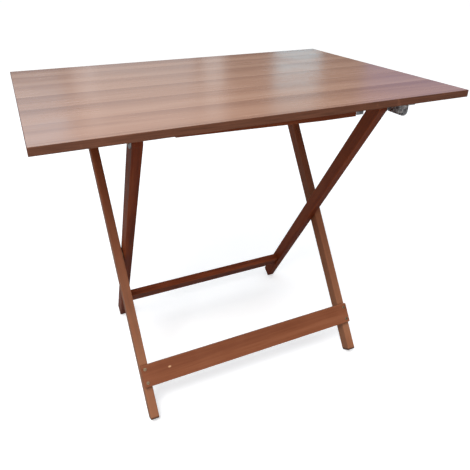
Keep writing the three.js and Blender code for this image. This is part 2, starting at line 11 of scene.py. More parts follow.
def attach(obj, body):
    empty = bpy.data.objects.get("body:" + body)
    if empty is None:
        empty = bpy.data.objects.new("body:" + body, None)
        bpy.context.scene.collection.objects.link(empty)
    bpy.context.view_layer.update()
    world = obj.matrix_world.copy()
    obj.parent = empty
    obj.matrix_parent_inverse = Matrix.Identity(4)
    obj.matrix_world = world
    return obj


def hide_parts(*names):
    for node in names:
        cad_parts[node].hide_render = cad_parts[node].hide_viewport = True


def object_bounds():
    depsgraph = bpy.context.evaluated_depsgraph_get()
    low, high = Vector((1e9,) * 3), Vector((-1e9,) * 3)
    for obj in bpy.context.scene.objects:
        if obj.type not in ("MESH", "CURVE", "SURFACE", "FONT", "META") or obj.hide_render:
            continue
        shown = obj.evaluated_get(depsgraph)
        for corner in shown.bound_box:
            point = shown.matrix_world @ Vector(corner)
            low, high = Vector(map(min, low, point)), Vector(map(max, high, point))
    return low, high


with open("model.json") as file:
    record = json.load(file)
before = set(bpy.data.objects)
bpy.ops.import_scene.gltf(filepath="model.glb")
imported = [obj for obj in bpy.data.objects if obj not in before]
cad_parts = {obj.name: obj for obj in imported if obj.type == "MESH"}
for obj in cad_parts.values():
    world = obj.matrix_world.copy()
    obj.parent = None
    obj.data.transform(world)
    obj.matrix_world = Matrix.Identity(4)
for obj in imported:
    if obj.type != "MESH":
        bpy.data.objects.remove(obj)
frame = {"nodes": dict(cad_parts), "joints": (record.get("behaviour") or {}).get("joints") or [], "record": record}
cad_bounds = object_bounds()

MM = 0.001

# ---- Sizes that the CAD boxes don't give directly ----
# Wooden pieces and edge bands: eased edges, rounded corners, and where the batten stops tapering.
LEG_EASE = 1.6 * MM
SLAT_EASE = 1.4 * MM
RUNG_EASE = 1.8 * MM
BATTEN_EASE = 1.2 * MM
BAND_EASE = 0.4 * MM
RAIL_RIM = 1.2 * MM
FOOT_CORNER = 5 * MM
SLAT_CORNER = 3 * MM
BATTEN_TAPER_X = 110 * MM

# Sheet-steel pieces: thickness, bends, corners, and how far two of the flanges reach.
SHEET = 2 * MM
SHEET_EASE = 0.3 * MM
BEND_RADIUS = 1.5 * MM
HINGE_FLANGE_FRONT = 8.5 * MM
BRACKET_CORNER = 4 * MM
CATCH_CORNER = 14 * MM
CATCH_BACK_CORNER = 4 * MM
CATCH_FLANGE_CORNER = 3 * MM
CATCH_FLANGE_BACK = -249 * MM
HOOK_STRIP = 1.6 * MM
HOOK_BEND_RADIUS = 1.5 * MM

# Bolts, washers and inserts. A root is a share of its thread's radius. A pivot bolt's head sits the gap
# below the leg's face.
BOLT_RADIUS = 3 * MM
BOLT_PITCH = 1 * MM
BOLT_ROOT = 0.86
BOLT_HEAD_EDGE = 0.2 * MM
HINGE_HEAD_RADIUS = 6.5 * MM
HINGE_HEAD_HEIGHT = 3.4 * MM
PIVOT_HEAD_RADIUS = 8 * MM
PIVOT_HEAD_HEIGHT = 2.4 * MM
PIVOT_HEAD_CHAMFER = 0.5 * MM
PIVOT_HEAD_GAP = 0.2 * MM
SOCKET_DEPTH = 2 * MM
SOCKET_RADIUS = 2.2 * MM
SOCKET_FLARE = 0.1 * MM
WASHER_RADIUS = 9 * MM
WASHER_RIM = 0.25 * MM
INSERT_RADIUS = 5 * MM
INSERT_PITCH = 1.6 * MM
INSERT_ROOT = 0.82
INSERT_COLLAR = 1.2 * MM
INSERT_EDGE = 0.2 * MM
INSERT_HOLE = 16 * MM

# Wood screws. The root and the neck are shares of the thread's radius.
SCREW_RADIUS = 2 * MM
SCREW_PITCH = 1.3 * MM
SCREW_ROOT = 0.72
SCREW_NECK = 0.8
SCREW_HEAD_RADIUS = 3.8 * MM
PAN_HEAD_HEIGHT = 1.8 * MM
FLAT_HEAD_HEIGHT = 2.6 * MM
FLAT_HEAD_RIM = 0.4 * MM
FLAT_HEAD_EDGE = 0.1 * MM
COUNTERSINK_DEPTH = 2.9 * MM
COUNTERSINK_LIP = 0.7 * MM
RECESS_REACH = 2.3 * MM
RECESS_WIDTH = 0.85 * MM
RECESS_DEPTH = 1.5 * MM

# The gap round a fastener, how far a countersunk head sits below the wood, and how far a tool overshoots.
PLAY = 0.3 * MM
SEAT_GAP = 0.1 * MM
PAST = 1 * MM

# Edges that turn by more than this are sharp. A rounded rectangle's corner has this many steps.
SHARP_ANGLE = math.radians(35)
CORNER_STEPS = 6

# ---- Bodies and places taken from the frame ----
record = frame["record"]
joints = {joint["name"]: joint for joint in frame["joints"]}
HINGE = Vector(joints["front_hinge"]["pos_m"])
PIVOT = Vector(joints["leg_pivot"]["pos_m"])
LEAN = math.atan2(PIVOT.y - HINGE.y, HINGE.z - PIVOT.z)
REACH = (HINGE - PIVOT).length
SIDES = (("left", -1), ("right", 1))

# Each frame is drawn about its pivot, with +Z along its legs towards their tops.
PLACE_OF = {
    "tabletop": Matrix(),
    "inner_frame": Matrix.Translation(PIVOT) @ Matrix.Rotation(LEAN, 4, "X"),
    "outer_frame": Matrix.Translation(PIVOT) @ Matrix.Rotation(-LEAN, 4, "X"),
}
BODY_OF = {node: body for body, nodes in record["behaviour"]["bodies"].items() for node in nodes}


def own_box(node):
    """A CAD node's lowest and highest corners along the axes of the frame it belongs to."""
    made = frame["nodes"][node]
    into_frame = PLACE_OF[BODY_OF[node]].inverted() @ made.matrix_world
    points = [into_frame @ vertex.co for vertex in made.data.vertices]
    low = Vector(min(point[axis] for point in points) for axis in range(3))
    high = Vector(max(point[axis] for point in points) for axis in range(3))
    return low, high


# ---- Material nodes ----
def srgb(red, green, blue):
    """An 8-bit screen colour as the linear colour that Blender's sockets take."""
    def linear(value):
        value /= 255
        return value / 12.92 if value <= 0.04045 else ((value + 0.055) / 1.055) ** 2.4

    return (linear(red), linear(green), linear(blue), 1.0)


class Graph:
    """A material and its node tree, with a short method for each kind of node used here."""

    def __init__(self, name, **shader_values):
        self.material = bpy.data.materials.new(name)
        self.material.use_nodes = True
        self.tree = self.material.node_tree
        self.shader = self.tree.nodes["Principled BSDF"]
        for socket, value in shader_values.items():
            self.shader.inputs[socket.replace("_", " ")].default_value = value

    def node(self, kind, **settings):
        made = self.tree.nodes.new(kind)
        for key, value in settings.items():
            setattr(made, key, value)
        return made

    def feed(self, socket, value):
        """Links the socket to another node's output, or sets it to a plain value."""
        if isinstance(value, bpy.types.NodeSocket):
            self.tree.links.new(value, socket)
        else:
            socket.default_value = value

    def into(self, socket, value):
        self.feed(self.shader.inputs[socket], value)

    def place(self, scale=(1, 1, 1), shift=(0, 0, 0)):
        """The object's own coordinates, stretched by scale."""
        mapping = self.node("ShaderNodeMapping")
        self.feed(mapping.inputs["Vector"], self.node("ShaderNodeTexCoord").outputs["Object"])
        mapping.inputs["Scale"].default_value = scale
        mapping.inputs["Location"].default_value = shift
        return mapping.outputs["Vector"]

    def noise(self, vector, scale, detail=4.0, roughness=0.55, distortion=0.0):
        made = self.node("ShaderNodeTexNoise")
        self.feed(made.inputs["Vector"], vector)
        made.inputs["Scale"].default_value = scale
        made.inputs["Detail"].default_value = detail
        made.inputs["Roughness"].default_value = roughness
        made.inputs["Distortion"].default_value = distortion
        return made.outputs["Fac"]

    def cells(self, vector, scale, output="Color"):
        made = self.node("ShaderNodeTexVoronoi")
        self.feed(made.inputs["Vector"], vector)
        made.inputs["Scale"].default_value = scale
        return made.outputs[output]

    def math(self, operation, a, b=0.0, clamp=False):
        made = self.node("ShaderNodeMath", operation=operation, use_clamp=clamp)
        self.feed(made.inputs[0], a)
        self.feed(made.inputs[1], b)
        return made.outputs[0]

    def spread(self, value, low, high, to_low=0.0, to_high=1.0):
        """Maps low..high to to_low..to_high, and holds the ends."""
        made = self.node("ShaderNodeMapRange", clamp=True)
        for socket, number in zip(made.inputs, (value, low, high, to_low, to_high)):
            self.feed(socket, number)
        return made.outputs["Result"]

    def mix(self, factor, a, b):
        """Blends two colours. They are sockets 6 and 7 of the node, which keeps 2 to 5 for other types."""
        made = self.node("ShaderNodeMix", data_type="RGBA", blend_type="MIX")
        self.feed(made.inputs[0], factor)
        self.feed(made.inputs[6], a)
        self.feed(made.inputs[7], b)
        return made.outputs[2]

    def ramp(self, factor, *stops):
        made = self.node("ShaderNodeValToRGB")
        elements = made.color_ramp.elements
        while len(elements) < len(stops):
            elements.new(0.5)
        for element, (position, color) in zip(elements, stops):
            element.position = position
            element.color = color
        self.feed(made.inputs["Fac"], factor)
        return made.outputs["Color"]

    def bump(self, height, strength, distance, normal=None):
        made = self.node("ShaderNodeBump")
        made.inputs["Strength"].default_value = strength
        made.inputs["Distance"].default_value = distance
        self.feed(made.inputs["Height"], height)
        if normal is not None:
            self.feed(made.inputs["Normal"], normal)
        return made.outputs["Normal"]

    def axes(self, vector):
        made = self.node("ShaderNodeSeparateXYZ")
        self.feed(made.inputs["Vector"], vector)
        return made.outputs

    def facing(self, axis):
        """How squarely the surface faces along one of the object's own axes, 0 to 1."""
        turned = self.node("ShaderNodeVectorTransform", vector_type="NORMAL")
        turned.convert_from = "WORLD"
        turned.convert_to = "OBJECT"
        self.feed(turned.inputs[0], self.node("ShaderNodeNewGeometry").outputs["True Normal"])
        return self.math("ABSOLUTE", self.axes(turned.outputs[0])["XYZ".index(axis)])


# ---- Materials ----
GRAIN_STRETCH = 0.045
# Painted light on the legs: paler towards the foot, in patches, where the board's shadow doesn't fall.
LOWER_LEG_PAINTED_LIGHT = srgb(162, 114, 84)
# Heights along a leg, from the crossing.
PAINTED_LIGHT_FULL_Z = -300 * MM
PAINTED_LIGHT_NONE_Z = 350 * MM
# A leg is darker in its last few millimetres, towards its end.
FOOT_END_DARK = srgb(44, 26, 18)
FOOT_Z = own_box("outer_leg_left")[0].z
FOOT_DARK_REACH = 7 * MM
KNOT = srgb(216, 168, 128)
# From the slat's middle.
KNOT_PLACE = Vector((-221 * MM, 0, 5.9 * MM))
KNOT_SIZE = Vector((4.5 * MM, 100 * MM, 2.6 * MM))


def knot_mask(g):
    """A small oval knot on the slat's face, 1 in its middle."""
    low, high = own_box("front_slat")
    centre = (low + high) / 2 + KNOT_PLACE
    scale = [1 / size for size in KNOT_SIZE]
    shift = [-centre[axis] * scale[axis] for axis in range(3)]
    length = g.node("ShaderNodeVectorMath", operation="LENGTH")
    g.feed(length.inputs[0], g.place(scale, shift))
    return g.spread(length.outputs["Value"], 0.55, 1.0, 1.0, 0.0)


def stained_wood(name, dark, middle, light, along, worn=0.0, painted_light_and_dark_foot=False, knot=False):
    """Stained hardwood: streaks and pores along one axis, darker end grain, rubbed patches, satin lacquer.

    A leg piece gets painted light, paler towards its foot where the board's shadow doesn't fall, and is darker at
    its end. A knot is for the slat."""
    g = Graph(name, IOR=1.45, Specular_IOR_Level=0.22)
    stretch = [1.0, 1.0, 1.0]
    stretch["XYZ".index(along)] = GRAIN_STRETCH
    lengthwise = g.place(stretch)
    plain = g.place()
    figure = g.noise(lengthwise, 34, detail=3, distortion=0.5)
    streaks = g.noise(lengthwise, 210, detail=5, roughness=0.6)
    pores = g.noise(lengthwise, 1100, detail=2)
    patches = g.noise(plain, 11, detail=3)
    tone = g.math("ADD", g.math("MULTIPLY", figure, 0.62), g.math("MULTIPLY", streaks, 0.38))
    color = g.ramp(tone, (0.34, dark), (0.5, middle), (0.68, light))
    pore_mask = g.spread(pores, 0.6, 0.72)
    color = g.mix(g.math("MULTIPLY", pore_mask, 0.4), color, dark)
    rubbed = g.spread(patches, 0.5, 0.72, worn, min(1.0, worn + 0.28))
    color = g.mix(rubbed, color, light)
    if painted_light_and_dark_foot:
        # Painted light: paler towards the foot, where the board's shadow doesn't fall.
        height = g.axes(plain)["Z"]
        by_height = g.spread(height, PAINTED_LIGHT_FULL_Z, PAINTED_LIGHT_NONE_Z, 0.8, 0.0)
        painted_light_share = g.math("MULTIPLY", by_height, g.spread(patches, 0.3, 0.7, 0.75, 1.0))
        color = g.mix(painted_light_share, color, LOWER_LEG_PAINTED_LIGHT)
        # Darker towards the foot's end.
        foot_darkening = g.spread(height, FOOT_Z + FOOT_DARK_REACH / 3, FOOT_Z + FOOT_DARK_REACH, 0.85, 0.0)
        color = g.mix(foot_darkening, color, FOOT_END_DARK)
    if knot:
        color = g.mix(knot_mask(g), color, KNOT)
    end_grain = g.spread(g.facing(along), 0.8, 0.95)
    color = g.mix(g.math("MULTIPLY", end_grain, 0.65), color, dark)
    g.into("Base Color", color)
    g.into("Roughness", g.spread(g.math("ADD", patches, streaks), 0.7, 1.3, 0.4, 0.6))
    raised = g.math("SUBTRACT", g.math("MULTIPLY", streaks, 0.6), pore_mask)
    g.into("Normal", g.bump(raised, 0.35, 0.15 * MM))
    return g.material


PLANK = 100 * MM
PLANK_SEAM_Y = -188 * MM
PLANK_TONES = (srgb(149, 110, 90), srgb(167, 127, 105), srgb(181, 143, 121))
SEAM = srgb(110, 70, 52)


def laminate_top():
    """Printed wood figure: six planks along X, each darker towards its back seam, under a satin film."""
    g = Graph("laminate_top", IOR=1.42)
    x, y, z = g.axes(g.place())
    across = g.math("DIVIDE", g.math("SUBTRACT", y, PLANK_SEAM_Y), PLANK)
    plank = g.math("FLOOR", across)
    part = g.math("FRACT", across)
    own = g.node("ShaderNodeCombineXYZ")
    g.feed(own.inputs["X"], g.math("MULTIPLY", x, GRAIN_STRETCH))
    g.feed(own.inputs["Y"], y)
    g.feed(own.inputs["Z"], g.math("MULTIPLY", plank, 3.7))
    lengthwise = own.outputs["Vector"]
    broad = g.noise(lengthwise, 22, detail=3, distortion=0.4)
    fine = g.noise(lengthwise, 240, detail=5, roughness=0.65)
    shade_by_plank = g.noise(g.math("MULTIPLY", plank, 1.37), 1.0, detail=0)
    toward_seam = g.spread(part, 0.25, 1.0)
    tone = g.math("ADD", g.math("MULTIPLY", broad, 0.6), g.math("MULTIPLY", fine, 0.2))
    tone = g.math("SUBTRACT", tone, g.math("MULTIPLY", toward_seam, 0.16))
    tone = g.math("ADD", tone, g.math("MULTIPLY", shade_by_plank, 0.15))
    color = g.ramp(tone, *zip((0.26, 0.42, 0.62), PLANK_TONES))
    seam = g.math("GREATER_THAN", part, 0.985)
    color = g.mix(g.math("MULTIPLY", seam, 0.35), color, SEAM)
    g.into("Base Color", color)
    smears = g.noise(g.place(), 9, detail=4)
    g.into("Roughness", g.spread(g.math("ADD", smears, fine), 0.75, 1.25, 0.2, 0.3))
    g.into("Normal", g.bump(fine, 0.12, 0.05 * MM))
    return g.material


def laminate_under():
    """A plain backing laminate, matt, with a faint even figure and storage scuffs."""
    g = Graph("laminate_under", IOR=1.45)
    figure = g.noise(g.place((GRAIN_STRETCH, 1, 1)), 90, detail=5)
    scuffs = g.noise(g.place(), 14, detail=6, roughness=0.7)
    color = g.ramp(figure, (0.3, srgb(128, 94, 72)), (0.7, srgb(158, 122, 96)))
    g.into("Base Color", g.mix(g.spread(scuffs, 0.58, 0.7, 0, 0.35), color, srgb(176, 146, 122)))
    g.into("Roughness", g.spread(scuffs, 0.3, 0.7, 0.5, 0.68))
    g.into("Normal", g.bump(scuffs, 0.15, 0.08 * MM))
    return g.material


def chipboard():
    """Pressed wood chips: pale flakes of mixed tone."""
    g = Graph("chipboard", Roughness=0.92)
    flakes = g.cells(g.place((1, 1, 2.5)), 420)
    tone = g.ramp(g.axes(flakes)[0], (0, srgb(150, 118, 80)), (1, srgb(214, 186, 142)))
    g.into("Base Color", g.mix(0.45, tone, srgb(188, 156, 112)))
    g.into("Normal", g.bump(g.axes(flakes)[1], 0.5, 0.3 * MM))
    return g.material


def edge_band(name, along):
    """Dark red-brown edging strip: fine streaks along the edge, rubbed lighter in places."""
    g = Graph(name, IOR=1.45, Specular_IOR_Level=0.4)
    stretch = [1.0, 1.0, 1.0]
    stretch["XYZ".index(along)] = GRAIN_STRETCH
    streaks = g.noise(g.place(stretch), 320, detail=4)
    knocks = g.noise(g.place(), 38, detail=5, roughness=0.7)
    color = g.ramp(streaks, (0.32, srgb(86, 50, 33)), (0.68, srgb(114, 70, 50)))
    g.into("Base Color", g.mix(g.spread(knocks, 0.62, 0.74, 0, 0.5), color, srgb(150, 98, 72)))
    g.into("Roughness", g.spread(knocks, 0.3, 0.7, 0.36, 0.5))
    g.into("Normal", g.bump(streaks, 0.2, 0.08 * MM))
    return g.material


def galvanised(name, dents, depth, light):
    """Zinc-dipped sheet: crystal spangle in several greys, dull smears, fine dents."""
    g = Graph(name, Metallic=1.0)
    wobble = g.noise(g.place(), 60, detail=2)
    spangle = g.axes(g.cells(g.place(), 190))[0]
    smears = g.noise(g.place(), 70, detail=5, roughness=0.65)
    color = g.ramp(spangle, (0.0, srgb(118, 122, 128)), (1.0, light))
    g.into("Base Color", g.mix(g.spread(smears, 0.5, 0.7, 0, 0.6), color, srgb(96, 96, 98)))
    g.into("Roughness", g.spread(g.math("ADD", spangle, smears), 0.4, 1.5, 0.24, 0.5))
    g.into("Normal", g.bump(wobble, dents, depth, g.bump(spangle, 0.2, 0.05 * MM)))
    return g.material


def zinc():
    """Passivated zinc plating: pale warm steel, tarnished in spots."""
    g = Graph("zinc_plating", Metallic=1.0)
    tarnish = g.noise(g.place(), 420, detail=4, roughness=0.7)
    turned = g.noise(g.place((1, 1, 14)), 900, detail=2)
    g.into("Base Color", g.ramp(tarnish, (0.35, srgb(204, 180, 150)), (0.7, srgb(134, 108, 82))))
    g.into("Roughness", g.spread(tarnish, 0.3, 0.7, 0.26, 0.5))
    g.into("Normal", g.bump(turned, 0.2, 0.03 * MM))
    return g.material


# How much of the light tone shows on a piece's rubbed edges.
WORN = 0.35

# The dark, middle and light tones of each stain.
STAIN = (srgb(92, 36, 14), srgb(128, 58, 27), srgb(156, 86, 50))
# Painted shade: a darker, more saturated copy of the stain for the inner legs, whose faces turn down into shade.
SHADED_INNER_STAIN = (srgb(84, 28, 6), srgb(116, 46, 14), srgb(142, 70, 34))
SLAT_STAIN = (srgb(124, 69, 44), srgb(137, 80, 52), srgb(150, 92, 63))
OUTER_LEG_WOODS = (
    stained_wood("stained_outer_leg", *STAIN, "Z", painted_light_and_dark_foot=True),
    stained_wood("stained_outer_leg_edge", *STAIN, "Z", WORN, painted_light_and_dark_foot=True),
)
# The inner legs carry painted shade in their darker stain.
SHADED_INNER_LEG_WOODS = (
    stained_wood("stained_inner_leg", *SHADED_INNER_STAIN, "Z"),
    stained_wood("stained_inner_leg_edge", *SHADED_INNER_STAIN, "Z", WORN),
)
CROSSWISE_WOODS = (
    stained_wood("stained_crosswise", *STAIN, "X"),
    stained_wood("stained_crosswise_edge", *STAIN, "X", WORN),
)
SLAT_WOODS = (
    stained_wood("stained_slat", *SLAT_STAIN, "X", knot=True),
    stained_wood("stained_slat_edge", *SLAT_STAIN, "X", WORN),
)
GALVANISED = galvanised("galvanised", dents=0.5, depth=0.8 * MM, light=srgb(186, 190, 196))
DENTED = galvanised("dented_sheet", dents=1.0, depth=3 * MM, light=srgb(238, 242, 246))
ZINC = zinc()


# ---- Mesh building ----
def linked(name, mesh):
    made = bpy.data.objects.new(name, mesh)
    bpy.context.scene.collection.objects.link(made)
    return made


def mesh_from(bm, name):
    bmesh.ops.remove_doubles(bm, verts=bm.verts, dist=1e-7)
    bmesh.ops.recalc_face_normals(bm, faces=bm.faces)
    mesh = bpy.data.meshes.new(name)
    bm.to_mesh(mesh)
    bm.free()
    return mesh


def arc(centre, radius, start, end, steps):
    """Points on an arc in a plane, angles in degrees."""
    points = []
    for step in range(steps + 1):
        angle = math.radians(start + (end - start) * step / steps)
        points.append((centre[0] + radius * math.cos(angle), centre[1] + radius * math.sin(angle)))
    return points


def prism(name, outline, low, high, axis="X"):
    """A solid between two levels of an axis.

    The outline is in the plane across it: (Y, Z) for X, (X, Z) for Y and (X, Y) for Z."""
    def corner(point, level):
        a, b = point
        return {"X": (level, a, b), "Y": (a, level, b), "Z": (a, b, level)}[axis]

    bm = bmesh.new()
    rings = [[bm.verts.new(corner(point, level)) for point in outline] for level in (low, high)]
    for ring in rings:
        bm.faces.new(ring)
    count = len(outline)
    for i in range(count):
        j = (i + 1) % count
        bm.faces.new((rings[0][i], rings[0][j], rings[1][j], rings[1][i]))
    return linked(name, mesh_from(bm, name))


def box(name, low, high):
    outline = [(low[1], low[2]), (high[1], low[2]), (high[1], high[2]), (low[1], high[2])]
    return prism(name, outline, low[0], high[0])


def turned(name, profile, sides=48, axis="Z"):
    """A solid of revolution: profile is a list of (place along the axis, radius), from end to end."""
    bm = bmesh.new()
    rings = []
    for along, radius in profile:
        if radius == 0:
            rings.append([bm.verts.new((0, 0, along))])
            continue
        ring = []
        for side in range(sides):
            angle = 2 * math.pi * side / sides
            ring.append(bm.verts.new((radius * math.cos(angle), radius * math.sin(angle), along)))
        rings.append(ring)
    for lower, upper in zip(rings, rings[1:]):
        for side in range(sides):
            after = (side + 1) % sides
            around = [lower[side % len(lower)], lower[after % len(lower)]]
            around += [upper[after % len(upper)], upper[side % len(upper)]]
            bm.faces.new(list(dict.fromkeys(around)))
    if axis == "X":
        bmesh.ops.rotate(bm, verts=bm.verts, matrix=Matrix.Rotation(math.pi / 2, 3, "Y"))
    return linked(name, mesh_from(bm, name))


def apply_modifiers(obj):
    graph = bpy.context.evaluated_depsgraph_get()
    mesh = bpy.data.meshes.new_from_object(obj.evaluated_get(graph), depsgraph=graph)
    old = obj.data
    obj.modifiers.clear()
    obj.data = mesh
    bpy.data.meshes.remove(old)
    mesh.name = obj.name


def ease(obj, width, segments=3, edge_material=-1):
    """Rounds an object's sharp edges. Round stretches stay as they are."""
    bevel = obj.modifiers.new("ease", "BEVEL")
    bevel.width = width
    bevel.segments = segments
    bevel.limit_method = "ANGLE"
    bevel.angle_limit = SHARP_ANGLE
    bevel.material = edge_material
    apply_modifiers(obj)


def combine(obj, operation, *tools):
    """Cuts, joins or intersects an object with others, which are used up."""
    for tool in tools:
        modifier = obj.modifiers.new("combine", "BOOLEAN")
        modifier.operation = operation
        modifier.solver = "EXACT"
        modifier.object = tool
    apply_modifiers(obj)
    for tool in tools:
        bpy.data.objects.remove(tool)
    return obj


def placed(obj, matrix):
    """Moves an object's mesh, for a tool or a piece that is made at the origin."""
    obj.data.transform(matrix)
    return obj


def smooth(obj):
    obj.data.shade_smooth()
    obj.data.set_sharp_from_angle(angle=SHARP_ANGLE)
    weighted = obj.modifiers.new("flat_faces_first", "WEIGHTED_NORMAL")
    weighted.keep_sharp = True


def finish_piece(obj, node, materials=(), seat=None):
    """Gives a piece its materials and place, and lets it stand for its CAD node."""
    for material in materials:
        obj.data.materials.append(material)
    body = BODY_OF[node]
    obj.matrix_world = PLACE_OF[body] @ (seat or Matrix())
    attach(obj, body)
    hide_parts(node)
    return obj


def rod(name, radius, low, high, y=0.0, z=0.0, axis="X"):
    """A plain round rod, used as a tool: along X at (y, z), or along Z."""
    made = turned(name, [(low, 0), (low, radius), (high, radius), (high, 0)], 40, axis)
    return placed(made, Matrix.Translation((0, y, z)))


def rounded_rectangle(low, high, corner):
    """The outline of a rectangle with round corners, from its lowest and highest points."""
    (a0, b0), (a1, b1) = low, high
    points = arc((a1 - corner, b0 + corner), corner, 270, 360, CORNER_STEPS)
    points += arc((a1 - corner, b1 - corner), corner, 0, 90, CORNER_STEPS)
    points += arc((a0 + corner, b1 - corner), corner, 90, 180, CORNER_STEPS)
    points += arc((a0 + corner, b0 + corner), corner, 180, 270, CORNER_STEPS)
    return points


# ---- Fasteners: each is drawn with its outer end at z = 0, facing +Z, and its shank below ----
UNDER_BOARD = ("bracket_screw", "catch_screw", "stop_screw", "hook_screw", "batten_screw")


def outward(node):
    """The way that a fastener's outer end faces, along the axes of its frame."""
    if node.startswith(UNDER_BOARD):
        return Vector((0, 0, -1))
    if node.startswith("slat_screw"):
        return Vector((0, -1, 0))
    return Vector((-1 if "left" in node else 1, 0, 0))


def seat_of(node, lift=0.0):
    """The place of a fastener's outer end, raised by lift."""
    low, high = own_box(node)
    way = outward(node)
    half = (high - low) / 2
    end = (low + high) / 2 + Vector(way[axis] * half[axis] for axis in range(3))
    return Matrix.Translation(end + way * lift) @ way.to_track_quat("Z", "Y").to_matrix().to_4x4()


def length_of(node):
    low, high = own_box(node)
    return abs((high - low).dot(outward(node)))


def thread(low, high, crest, root, pitch):
    """Profile points of thread ridges between two heights."""
    points = []
    for turn in range(int((high - low) / pitch)):
        start = low + turn * pitch
        points += [(start, root), (start + pitch * 0.4, crest)]
        points += [(start + pitch * 0.5, crest), (start + pitch * 0.9, root)]
    return points


def blade():
    """One arm of a cross recess, narrower at its bottom."""
    bm = bmesh.new()
    rings = []
    for level, share in ((-RECESS_DEPTH, 0.45), (0.3 * MM, 1.05)):
        a, b = RECESS_REACH * share, RECESS_WIDTH / 2 * (0.6 + 0.4 * share)
        rings.append([bm.verts.new((x, y, level)) for x, y in ((-a, -b), (a, -b), (a, b), (-a, b))])
    for ring in rings:
        bm.faces.new(ring)
    for i in range(4):
        j = (i + 1) % 4
        bm.faces.new((rings[0][i], rings[0][j], rings[1][j], rings[1][i]))
    return linked("blade", mesh_from(bm, "blade"))


def cross_recess(made):
    across = placed(blade(), Matrix.Rotation(math.pi / 2, 4, "Z"))
    return combine(made, "DIFFERENCE", blade(), across)


def wood_screw(length, head):
    """A wood screw with this head profile: point, threads on the lower part, plain neck, cross recess."""
    point = SCREW_RADIUS * 1.6
    plain = -length * 0.38
    profile = [(-length, 0)]
    profile += thread(-length + point, plain, SCREW_RADIUS, SCREW_RADIUS * SCREW_ROOT, SCREW_PITCH)
    profile += [(plain, SCREW_RADIUS * SCREW_NECK)] + head
    return cross_recess(turned("wood_screw", profile, 28))


def dome(height, radius, flat, angles):
    """Profile points of a domed top, up from a rim at -height. Flat is the share of the radius left flat."""
    points = []
    for angle in angles:
        turn = math.radians(angle)
        points.append((-height * (1 - math.sin(turn)), radius * (flat + (1 - flat) * math.cos(turn))))
    return points + [(0, 0)]


def pan_screw(length):
    height, radius = PAN_HEAD_HEIGHT, SCREW_HEAD_RADIUS
    rim = height * 0.62
    head = [(-height, SCREW_RADIUS * SCREW_NECK), (-height, radius), (-rim, radius)]
    return wood_screw(length, head + dome(rim, radius, 0.3, (20, 40, 60, 75)))


def flat_screw(length):
    head = [
        (-FLAT_HEAD_HEIGHT, SCREW_RADIUS * SCREW_NECK),
        (-FLAT_HEAD_RIM, SCREW_HEAD_RADIUS - 0.5 * FLAT_HEAD_EDGE),
        (-FLAT_HEAD_EDGE, SCREW_HEAD_RADIUS),
        (0, SCREW_HEAD_RADIUS - 1.5 * FLAT_HEAD_EDGE),
        (0, 0),
    ]
    return wood_screw(length, head)


def socket_bolt(length, head):
    """A machine screw with this head profile and a six-sided socket."""
    tip = 0.4 * MM
    threaded = -length * 0.55
    profile = [(-length, 0), (-length, BOLT_RADIUS * 0.8)]
    profile += thread(-length + tip, threaded, BOLT_RADIUS, BOLT_RADIUS * BOLT_ROOT, BOLT_PITCH)
    profile += [(threaded, BOLT_RADIUS)] + head
    made = turned("bolt", profile, 40)
    corner = (-SOCKET_DEPTH + 0.3 * MM, SOCKET_RADIUS)
    socket = [(-SOCKET_DEPTH, 0), corner, (PAST, SOCKET_RADIUS + SOCKET_FLARE), (PAST, 0)]
    return combine(made, "DIFFERENCE", turned("socket", socket, 6))


def hinge_bolt(length):
    height, radius = HINGE_HEAD_HEIGHT, HINGE_HEAD_RADIUS
    rim = height * 0.7
    head = [(-height, BOLT_RADIUS), (-height, radius - BOLT_HEAD_EDGE)]
    head += [(-height * 0.9, radius), (-rim, radius)]
    return socket_bolt(length, head + dome(rim, radius, 0.4, (15, 35, 55, 70)))


def pivot_bolt(length):
    head = [
        (-PIVOT_HEAD_HEIGHT, BOLT_RADIUS),
        (-PIVOT_HEAD_HEIGHT, PIVOT_HEAD_RADIUS - BOLT_HEAD_EDGE),
        (-PIVOT_HEAD_HEIGHT + BOLT_HEAD_EDGE, PIVOT_HEAD_RADIUS),
        (-PIVOT_HEAD_CHAMFER, PIVOT_HEAD_RADIUS),
        (0, PIVOT_HEAD_RADIUS - PIVOT_HEAD_CHAMFER),
        (0, 0),
    ]
    return socket_bolt(length, head)


def bored(made, radius, length):
    """Bores a turned piece right through along Z."""
    return combine(made, "DIFFERENCE", rod("bore", radius, -length - PAST, PAST, axis="Z"))


def threaded_insert(length):
    """An insert with a plain collar at its mouth and a thread behind it."""
    root = INSERT_RADIUS * INSERT_ROOT
    tip = 0.6 * MM
    threaded = -INSERT_COLLAR - INSERT_EDGE
    outside = [(-length, 0), (-length, root)]
    outside += thread(-length + tip, threaded, INSERT_RADIUS, root, INSERT_PITCH)
    outside += [(-INSERT_COLLAR, INSERT_RADIUS), (-INSERT_EDGE, INSERT_RADIUS)]
    outside += [(0, INSERT_RADIUS - INSERT_EDGE), (0, 0)]
    return bored(turned("insert", outside, 40), BOLT_RADIUS + PLAY, length)


def washer(length):
    rim = WASHER_RADIUS
    outside = [(-length, 0), (-length, rim - WASHER_RIM), (-length + WASHER_RIM, rim)]
    outside += [(-WASHER_RIM, rim), (0, rim - WASHER_RIM), (0, 0)]
    return bored(turned("washer", outside, 48), BOLT_RADIUS + PLAY, length)


FASTENERS = {
    "bracket_screw": pan_screw,
    "catch_screw": pan_screw,
    "stop_screw": pan_screw,
    "hook_screw": pan_screw,
    "batten_screw": pan_screw,
    "rung_screw": flat_screw,
    "rail_screw": flat_screw,
    "slat_screw": flat_screw,
    "hinge_bolt": hinge_bolt,
    "hinge_insert": threaded_insert,
    "pivot_bolt": pivot_bolt,
    "pivot_insert": threaded_insert,
    "pivot_washer": washer,
}


